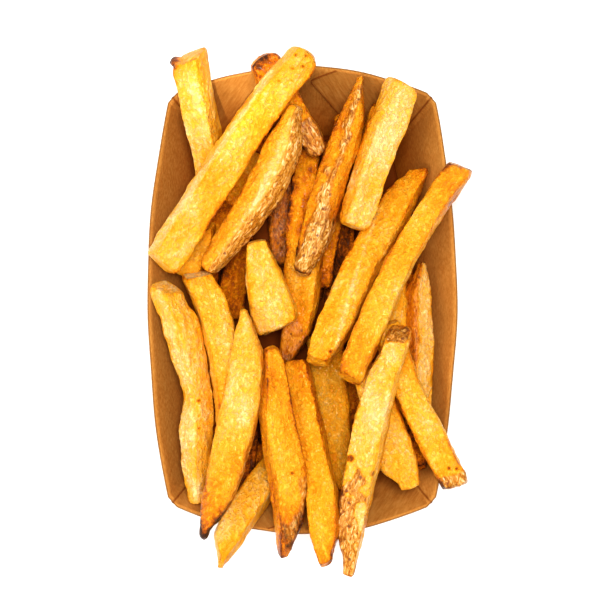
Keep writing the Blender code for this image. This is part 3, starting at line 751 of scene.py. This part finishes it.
def fry_mesh_data(fry, low, high, number, spacing):
    """One detailed strip: its vertices and faces, and its tone, skin, film and place on the fry."""
    start, end, widths, bow, thickness, roll, look = fry[1:]
    length = math.dist(start, end) * MM
    if "edges" in look:
        lefts, rights = look["edges"]
    else:
        steps = np.linspace(0.0, 1.0, 7)
        middles = bow * 4.0 * steps * (1.0 - steps)
        halves = np.array([fry_width(widths, step) for step in steps]) / 2.0
        lefts, rights = middles + halves, middles - halves
    before, after = (extra * MM for extra in look.get("reach", (0.0, 0.0)))
    count = max(20, int((length + before + after) / spacing))
    around = 4 * max(8, int(0.5 * (np.mean(lefts) - np.mean(rights) + thickness) * MM / spacing))
    place = np.linspace(-before, length + after, count)
    place = np.concatenate((np.full(CAP_RINGS, place[0]), place, np.full(CAP_RINGS, place[-1])))
    cap = np.arange(1, CAP_RINGS + 1) / (CAP_RINGS + 1.0)
    cap = np.concatenate((cap[::-1], np.zeros(count), cap))
    shares = np.clip(place / length, 0.0, 1.0)
    left_edge, right_edge = along_line(lefts, shares) * MM, along_line(rights, shares) * MM
    half_width = (left_edge - right_edge) / 2.0 + SPARE_WIDTH
    middle = (left_edge + right_edge) / 2.0
    fullness = np.minimum(1.0, half_width / half_width.max())
    half_height = thickness * MM / 2.0 * (0.5 + 0.5 * fullness)
    from_start, from_end = place + before, length + after - place
    near_cut = np.minimum(from_start, from_end)
    tuck = 1.0 - END_TUCK * np.exp(-near_cut / END_TUCK_REACH)
    scale = tuck * (1.0 - cap)

    a, b, edge, face_a, face_b = even_section(around, look.get("section", 4.8), look.get("roll", roll))
    q, p = scale[:, None] * a, scale[:, None] * b
    lateral_rows = middle[:, None] + q * half_width[:, None]
    vertical = (p * half_height[:, None]).ravel()
    along = np.repeat(place[:, None], around, axis=1)
    for key, gone, sign in (("start_cut", from_start, 1.0), ("end_cut", from_end, -1.0)):
        rounded, slant, tilt = look.get(key, (0.5, 0.0, 0.4))
        fall_back = rounded * (1.0 - np.sqrt(1.0 - 0.97 * np.minimum(1.0, q * q)))
        fall_back = (fall_back - slant * q + tilt * (p + 1.0) / 2.0) * MM
        fade = max(4.0, 2.4 * (rounded + abs(slant) + abs(tilt))) * MM
        along = along + sign * fall_back * (1.0 - smooth_step(0.0, fade, gone))[:, None]
    along, lateral = along.ravel(), lateral_rows.ravel()
    local = np.column_stack((along, lateral, vertical))

    start3 = np.array((start[0] * MM, start[1] * MM, low))
    end3 = np.array((end[0] * MM, end[1] * MM, high))
    slope = np.linalg.norm(end3 - start3) / length
    forward = (end3 - start3) / (length * slope)
    left = np.cross((0.0, 0.0, 1.0), forward)
    left /= np.linalg.norm(left)
    up = np.cross(forward, left)
    points = start3 + forward * (along * slope)[:, None] + left * lateral[:, None] + up * vertical[:, None]
    capped = np.repeat(cap, around)
    closing = np.where(capped > 0.0, 0.35 + 0.65 * capped, 0.0)
    way = np.where(np.repeat(shares, around) > 0.5, 1.0, -1.0)
    out_a = np.tile(face_a, len(cap)) * (1.0 - closing)
    out_b = np.tile(face_b, len(cap)) * (1.0 - closing)
    outward = left * out_a[:, None] + up * out_b[:, None] + forward * (way * closing)[:, None]
    outward /= np.linalg.norm(outward, axis=1)[:, None] + 1e-9

    seed = 17 * number + 3

    def bumps(long_size, side_size, which):
        return lattice_noise(local, np.array((long_size, side_size, side_size)) * MM, seed + which)

    edge = smooth_step(0.74, 0.87, np.where(capped > 0.0, 0.0, np.tile(edge, len(cap))))
    patch = bumps(12.0, 6.0, 5)
    spot = bumps(3.2, 2.2, 6)
    ridge = bumps(10.0, 2.0, 7)
    blister = bumps(2.0, 1.4, 2)
    room = (left_edge[:, None] - lateral_rows).ravel() / MM
    skin = skin_of(look, local, a, b, cap, around, length, patch, spot, blister, room)
    lift = sum(height * bumps(*bump) for height, *bump in RELIEF)
    lift += 0.26 * ridge + 0.24 * np.maximum(blister, -0.4)
    lift += 0.24 * skin * (1.0 - 2.0 * np.abs(bumps(2.8, 1.2, 8)))
    lift += 0.25 * edge * (1.0 - skin) - 0.10

    # Painted shade: the tone darkens where the fry lies below the heap round it, and towards its two
    # sides.
    gap_shade = np.clip((crowd[cell_of(points)] - points[:, 2]) / GAP_SHADE_DEPTH, 0.0, 1.0)
    side_shade = smooth_step(0.72, 1.0, np.abs(q).ravel()) * (capped == 0.0)
    tone = look.get("tone", 0.7) + 0.13 * patch + 0.07 * spot - 0.05 * ridge - 0.06 * blister
    tone += 0.16 * edge * (0.7 + 1.2 * patch) * (1.0 - 0.6 * skin)
    tone += 0.12 * side_shade * (0.7 + 1.1 * patch + 0.7 * spot) + 0.09 * gap_shade
    # Painted shade on the faces that turn east or west, as much as each fry's east and west entries.
    for key, facing in (("east_shade", outward[:, 0]), ("west_shade", -outward[:, 0])):
        tone += look.get(key, 0.0) * smooth_step(*SHADED_SIDE_FACING, facing)
    end_reach = look.get("end_reach", END_REACH)
    for key, gone, reach in (("start_tone", along, END_REACH), ("end_tone", length - along, end_reach)):
        browned = np.exp(-np.maximum(gone, 0.0) / (reach * MM))
        tone += look.get(key, 0.0) * browned * (1.0 + 0.6 * patch)
    at_cut = np.exp(-np.repeat(near_cut, around) / CUT_EDGE_REACH) * (capped < 0.2)
    tone += 0.19 * at_cut * (0.7 + 0.9 * spot)
    if "start_face" in look:
        cut_face = look["start_face"] + 0.12 * spot + 0.08 * blister
        tone = np.where((capped > 0.05) & (way < 0.0), cut_face, tone)
    tone += look.get("skin_tone", 0.20) * skin
    add_marks(look, length, along, lateral, outward[:, 2], spot, blister, tone, lift)
    points += outward * (lift * MM)[:, None]

    rings = len(cap)
    index = np.arange(rings * around).reshape(rings, around)
    onward = np.roll(index, -1, axis=1)
    quads = np.stack((index[:-1], onward[:-1], onward[1:], index[1:]), axis=-1).reshape(-1, 4)
    first, last = rings * around, rings * around + 1
    fans = [(first, j, i) for i, j in zip(index[0], onward[0])]
    fans += [(last, i, j) for i, j in zip(index[-1], onward[-1])]
    poles = np.array((points[index[0]].mean(axis=0), points[index[-1]].mean(axis=0)))
    ends = [index[0, 0], index[-1, 0]]
    film = look.get("film", 1.0) * skin * smooth_step(0.98, 0.80, tone)
    maps = [np.concatenate((value, value[ends])) for value in (tone, skin, film)]
    local = np.concatenate((local, local[ends])) + (0.0, 0.0, number * NOISE_SHIFT)
    return np.concatenate((points, poles)), quads, np.array(fans), maps, local


def add_marks(look, length, along, lateral, upward, spot, blister, tone, lift):
    """Adds a fry's streaks, dark flecks and burr to its tone and its relief."""
    on_top = upward > 0.0
    for from_share, from_side, to_share, to_side, wide, paler in look.get("streaks", ()):
        run = np.clip((along / length - from_share) / (to_share - from_share), 0.0, 1.0)
        aside = (lateral / MM - mixed(from_side, to_side, run)) / wide
        past = (along - mixed(from_share, to_share, run) * length) / STREAK_FADE
        strength = np.exp(-aside ** 2 - past ** 2) * (1.0 + 0.7 * spot) * on_top
        tone -= paler * strength
        lift += 0.8 * paler * strength
    for share, side, radius in look.get("spots", ()):
        away = np.hypot(along - share * length, lateral - side * MM) / MM + 0.25 * blister
        dark = smooth_step(radius + 0.35, radius - 0.35, away) * on_top
        tone += (SPOT_TONE - tone) * dark * 0.85
        lift -= 0.2 * dark
    if "burr" in look:
        burr_along, burr_side, radius, height = look["burr"]
        away = np.hypot(along / MM - burr_along, lateral / MM - burr_side) + 0.5 * blister
        shown = upward > -0.4
        tone += (BURR_TONE - tone) * smooth_step(radius, 0.6 * radius, away) * shown
        lift += height * smooth_step(radius, 0.2 * radius, away) * shown


def skin_of(look, local, a, b, cap, around, length, patch, spot, blister, room):
    """Where potato skin is left on a fry, from 0 to 1."""
    skin = np.zeros(len(local))
    ragged = 1.0 + 0.45 * patch + 0.3 * spot
    if "skin" in look:
        middle_angle, half = look["skin"]
        degrees = np.tile(np.degrees(np.arctan2(b, a)), len(cap))
        off = np.abs((degrees - middle_angle + 180.0) % 360.0 - 180.0)
        skin = np.maximum(skin, smooth_step(5.0, -5.0, off - half + 9.0 * (1.0 - ragged) * 2.0))
    if "skin_from_end" in look:
        reach = look["skin_from_end"] * length * ragged
        at_end = smooth_step(0.8 * MM, -0.8 * MM, length - local[:, 0] - reach)
        if "skin_gap" in look:
            plain = smooth_step(0.3, -0.3, room - look["skin_gap"] - 0.5 * spot)
            at_end = at_end * (1.0 - plain * smooth_step(1.0 * MM, 4.0 * MM, length - local[:, 0]))
        skin = np.maximum(skin, at_end)
    for low, high, right, left in look.get("peel", ()):
        ends = np.minimum(local[:, 0] - low * length, high * length - local[:, 0]) / MM
        sides = np.minimum(local[:, 1] / MM - right, left - local[:, 1] / MM)
        within = np.minimum(ends * 0.5, sides) + 1.3 * patch + 1.3 * spot + 0.5 * blister
        skin = np.maximum(skin, smooth_step(-0.7, 0.8, within) * (local[:, 2] > -2.0 * MM))
    if look.get("start_face", 0.0) > 0.25:
        at_start = np.repeat(cap, around) * (local[:, 0] < length / 2.0)
        skin = np.maximum(skin, smooth_step(0.0, 0.15, at_start))
    return skin


def merged_fries(name, chosen):
    """Joins detailed strips into one mesh that keeps their tone, skin, film and places as maps."""
    points, quads, fans, maps, local = [], [], [], [], []
    offset = 0
    for number, (fry, low, high) in chosen:
        buried = fry[0] == "deep"
        spacing = BURIED_SPACING if buried else LOW_SPACING if number < len(LOW_FRIES) else TOP_SPACING
        one = fry_mesh_data(fry, low, high, number, spacing)
        points.append(one[0])
        quads += (one[1] + offset).tolist()
        fans += (one[2] + offset).tolist()
        maps.append(one[3])
        local.append(one[4])
        offset += len(one[0])
    mesh = bpy.data.meshes.new(name)
    mesh.from_pydata(np.concatenate(points).tolist(), [], quads + fans)
    for i, label in enumerate(("tone", "skin", "film")):
        values = np.concatenate([one[i] for one in maps])
        layer = mesh.attributes.new(label, "FLOAT", "POINT")
        layer.data.foreach_set("value", values.astype(np.float32))
    layer = mesh.attributes.new("place", "FLOAT_VECTOR", "POINT")
    layer.data.foreach_set("vector", np.concatenate(local).astype(np.float32).ravel())
    mesh.shade_smooth()
    return mesh


def fried_potato_material(name, gloss, sheen):
    """Fried potato: cream to burnt crust with fine wrinkles, and crumpled, flecked skin."""
    material, tree, shader = new_material(name)
    tone, skin, film, place = (
        node(tree, "Attribute", attribute_name=label) for label in ("tone", "skin", "film", "place")
    )
    drawn = node(tree, "Mapping", {"Scale": (0.80, 1.0, 1.0)})
    mottle = node(tree, "Group", {"Scale": 880.0, "Fine share": 0.20}, node_tree=mottling)
    spread = soft_band(tree, 0.38, 0.62, 0.085, -0.085)
    worms = node(tree, "TexNoise", {"Scale": 700.0, "Detail": 1.0, "Distortion": 0.6})
    off_middle = node(tree, "Math", {1: 0.42}, operation="SUBTRACT")
    either_side = node(tree, "Math", operation="ABSOLUTE")
    wrinkle = soft_band(tree, 0.0, 0.05, -0.12, 0.02)
    mottled = node(tree, "Math", operation="ADD")
    total = node(tree, "Math", operation="ADD")
    crust = ramp(tree, [
        (0.00, (0.93, 0.620, 0.250)),
        (0.13, (0.93, 0.500, 0.115)),
        (0.27, (0.91, 0.430, 0.034)),
        (0.41, (0.87, 0.358, 0.010)),
        (0.55, (0.79, 0.268, 0.003)),
        (0.69, (0.61, 0.160, 0.002)),
        (0.81, (0.33, 0.074, 0.002)),
        (0.90, (0.15, 0.034, 0.003)),
        (1.00, (0.05, 0.015, 0.004)),
    ])
    wire(
        tree,
        (place, "Vector", drawn, "Vector"),
        (drawn, "Vector", mottle, "Vector"),
        (mottle, "Value", spread, "Value"),
        (drawn, "Vector", worms, "Vector"),
        (worms, "Fac", off_middle, 0),
        (off_middle, 0, either_side, 0),
        (either_side, 0, wrinkle, "Value"),
        (spread, "Result", mottled, 0),
        (wrinkle, "Result", mottled, 1),
        (tone, "Fac", total, 0),
        (mottled, 0, total, 1),
        (total, 0, crust, "Fac"),
    )
    pulled = node(tree, "Mapping", {"Scale": (0.40, 1.0, 1.0)})
    crumpling = {"Scale": 950.0, "Detail": 3.0, "Roughness": 0.60, "Distortion": 1.3}
    crumple = node(tree, "TexNoise", crumpling)
    whiter = node(tree, "Math", {1: 0.10, 2: -0.09}, operation="MULTIPLY_ADD")
    flaked = node(tree, "Math", operation="ADD")
    skin_colour = ramp(tree, [
        (0.35, (0.22, 0.064, 0.004)),
        (0.45, (0.41, 0.158, 0.012)),
        (0.53, (0.58, 0.270, 0.040)),
        (0.61, (0.76, 0.450, 0.130)),
        (0.71, (0.90, 0.720, 0.440)),
    ])
    skin_depth = multiplied(tree, {"Factor": 0.15})
    shown = node(tree, "Math", {1: 0.92}, operation="MULTIPLY", use_clamp=True)
    filmed = node(tree, "Mix", data_type="RGBA")
    freckle = node(tree, "TexVoronoi", {"Scale": 300.0})
    dots = soft_band(tree, 0.22, 0.10, 0.0, 0.85)
    dot_share = node(tree, "Math", operation="MULTIPLY")
    dotted = node(tree, "Mix", {"B": (0.17, 0.05, 0.012, 1.0)}, data_type="RGBA")
    wire(
        tree,
        (place, "Vector", pulled, "Vector"),
        (pulled, "Vector", crumple, "Vector"),
        (film, "Fac", whiter, 0),
        (crumple, "Fac", flaked, 0),
        (whiter, 0, flaked, 1),
        (flaked, 0, skin_colour, "Fac"),
        (skin_colour, "Color", skin_depth, "A"),
        (crust, "Color", skin_depth, "B"),
        (film, "Fac", shown, 0),
        (shown, 0, filmed, "Factor"),
        (crust, "Color", filmed, "A"),
        (skin_depth, "Result", filmed, "B"),
        (place, "Vector", freckle, "Vector"),
        (freckle, "Distance", dots, "Value"),
        (dots, "Result", dot_share, 0),
        (skin, "Fac", dot_share, 1),
        (dot_share, 0, dotted, "Factor"),
        (filmed, "Result", dotted, "A"),
        (dotted, "Result", shader, "Base Color"),
    )
    crust_height = node(tree, "Math", {1: -4.6}, operation="MULTIPLY")
    height = node(tree, "Mix", data_type="FLOAT")
    bump = node(tree, "Bump", {"Strength": 1.0, "Distance": 0.00042})
    shine = node(tree, "MapRange", {"To Min": sheen, "To Max": 0.9 * sheen})
    wire(
        tree,
        (mottled, 0, crust_height, 0),
        (skin, "Fac", height, "Factor"),
        (crust_height, 0, height, "A"),
        (crumple, "Fac", height, "B"),
        (height, "Result", bump, "Height"),
        (bump, "Normal", shader, "Normal"),
        (skin, "Fac", shine, "Value"),
        (shine, "Result", shader, "Specular IOR Level"),
    )
    shader.inputs["Roughness"].default_value = gloss
    shader.inputs["Subsurface Weight"].default_value = 0.15
    shader.inputs["Subsurface Radius"].default_value = (1.0, 0.40, 0.06)
    shader.inputs["Subsurface Scale"].default_value = 0.0010
    return material


# The core: the imported middle of the heap, which only shows in the deepest gaps, and so is given a
# near-black tone as painted shade. It is one lumpy mass that fills the tray's foot.
CORE_GAP = 0.8 * MM
CORE_CORNERS = 0.3
CORE_LUMP = 9.0 * MM
CORE_LUMP_HEIGHT = 1.5 * MM
# The core's near-black tone is painted shade.
CORE_SHADE_TONE = 0.88


def core_ring(sides, height, scale, lumps):
    """One level ring of the core, clear of the tray's walls; lumps is 1 where it is uneven."""
    rise = height / SIDE_RIM_HEIGHT
    half_x = mixed(BASE_HALF_WIDTH, CORNER_HALF_WIDTH, rise) - CORE_GAP * 2.0
    half_y = mixed(BASE_HALF_LENGTH, CORNER_HALF_LENGTH, rise) - CORE_GAP * 2.0
    angle = (np.arange(sides) + 0.5) * 2.0 * math.pi / sides
    u, v = squarish(angle, CORE_CORNERS)
    ring = np.column_stack((u * half_x * scale, v * half_y * scale, np.full(sides, height)))
    ring[:, 2] += lattice_noise(ring, CORE_LUMP, 5) * CORE_LUMP_HEIGHT * lumps
    return ring


def core_mesh():
    """Rings up the tray's slanted foot, and then in over a low lumpy dome."""
    sides, heights, domes = 120, 12, 30
    foot = BOARD + CORE_GAP
    rings = [core_ring(sides, foot, 0.5, 0.0)]
    for step in range(heights + 1):
        rings.append(core_ring(sides, mixed(foot, CORE_EDGE_HEIGHT, step / heights), 1.0, 0.0))
    for step in range(1, domes):
        scale = 1.0 - step / domes
        rise = mixed(CORE_TOP_HEIGHT, CORE_EDGE_HEIGHT, scale ** 2) - CORE_EDGE_HEIGHT
        rings.append(core_ring(sides, CORE_EDGE_HEIGHT, scale, 1.0) + np.array((0.0, 0.0, rise)))
    points = np.concatenate(rings)
    faces = []
    for a in range(0, len(points) - sides, sides):
        for i in range(sides):
            j = (i + 1) % sides
            faces.append((a + i, a + j, a + sides + j, a + sides + i))
    faces.append(tuple(range(sides - 1, -1, -1)))
    faces.append(tuple(range(len(points) - sides, len(points))))
    mesh = bpy.data.meshes.new("fries_core")
    mesh.from_pydata(points.tolist(), [], faces)
    layer = mesh.attributes.new("tone", "FLOAT", "POINT")
    layer.data.foreach_set("value", np.full(len(points), CORE_SHADE_TONE, dtype=np.float32))
    mesh.shade_smooth()
    return mesh


core = add_piece("fries_core", core_mesh(), [fried_potato_material("core_potato_shade", 0.7, 0.05)])
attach(core, "root")
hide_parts("fries")

# The fries themselves, one piece for each kind: the dark ones deep in the heap, whose dark tone is painted
# shade, pale ones, golden ones, orange ones and those that keep a strip of potato skin. All are cut from
# the same potatoes, and of the others the darker ones were fried longer.
TOP_SPACING = 0.50 * MM
LOW_SPACING = 0.70 * MM
BURIED_SPACING = 0.9 * MM
FINISHES = (
    ("deep", 0.50, 0.12),
    ("golden", 0.30, 0.20),
    ("pale", 0.34, 0.18),
    ("orange", 0.28, 0.24),
    ("skin", 0.30, 0.24),
)
for kind, gloss, sheen in FINISHES:
    chosen = [(number, row) for number, row in enumerate(resting) if row[0][0] == kind]
    mesh = merged_fries("fries_" + kind, chosen)
    piece = add_piece("fries_" + kind, mesh, [fried_potato_material(kind + "_potato", gloss, sheen)])
    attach(piece, "root")

# The floor: a plain white sheet that the tray stands on, as wide as a studio table. It lies flat
# under the tray's base.
FLOOR_HALF = 1.5
floor_mesh = bpy.data.meshes.new("floor")
corners = [(x * FLOOR_HALF, y * FLOOR_HALF, 0.0) for x, y in ((-1, -1), (1, -1), (1, 1), (-1, 1))]
floor_mesh.from_pydata(corners, [], [(0, 1, 2, 3)])
floor_material, _, floor_shader = new_material("white_floor")
floor_shader.inputs["Base Color"].default_value = (0.95, 0.95, 0.95, 1.0)
floor_shader.inputs["Roughness"].default_value = 0.8
floor = add_piece("floor", floor_mesh, [floor_material])

# The light: pale surroundings give much of it, as in a white tent, with a soft lamp from the lower
# left and one from above that makes the oil glint. A narrow warm beam through the gap at the top
# left brightens the end wall there.
HEAP = (0.0, 0.0, 0.03)
END_WALL_GAP = (-0.0225, 0.0745, 0.036)


def lamp(name, kind, place, aim, watts, colour, **settings):
    """A light at a place, turned to shine at aim."""
    data = bpy.data.lights.new(name, kind)
    data.energy = watts
    data.color = colour
    for key, value in settings.items():
        setattr(data, key, value)
    item = bpy.data.objects.new(name, data)
    item.location = place
    item.rotation_euler = (Vector(aim) - Vector(place)).to_track_quat("-Z", "Y").to_euler()
    bpy.context.scene.collection.objects.link(item)


lamp("key_lamp", "AREA", (-0.50, -0.35, 0.80), HEAP, 4.3, (1.0, 0.98, 0.95), size=0.40)
lamp("top_lamp", "AREA", (0.05, 0.10, 1.0), HEAP, 7.9, (1.0, 0.99, 0.97), size=0.30)
lamp("wall_spot", "SPOT", (-0.10, -0.20, 0.90), END_WALL_GAP, 34.0, (1.0, 0.92, 0.80),
     spot_size=math.radians(2.6), spot_blend=1.0, shadow_soft_size=0.01)
world = bpy.data.worlds.new("pale_room")
bpy.context.scene.world = world
world.use_nodes = True
background = world.node_tree.nodes["Background"]
background.inputs["Color"].default_value = (1.0, 1.0, 1.0, 1.0)
background.inputs["Strength"].default_value = 0.60

# The camera: straight above, as in the photo, with the tray's length up the picture. Its focal
# length is in pixels of the photo, which are 0.34 mm each at the tray's rim.
CAMERA_PLACE = (-0.7 * MM, 0.0, 0.6)
FOCAL_PIXELS = 1647.0
PHOTO_PIXELS = 600.0
SENSOR = 36.0
camera_data = bpy.data.cameras.new("camera")
camera_data.sensor_width = SENSOR
camera_data.lens = FOCAL_PIXELS / PHOTO_PIXELS * SENSOR
camera = bpy.data.objects.new("camera", camera_data)
camera.location = CAMERA_PLACE
camera.rotation_euler = (0.0, 0.0, 0.0)
bpy.context.scene.collection.objects.link(camera)
bpy.context.scene.camera = camera
bpy.context.scene.view_settings.view_transform = "Standard"
bpy.context.scene.view_settings.look = "Medium High Contrast"
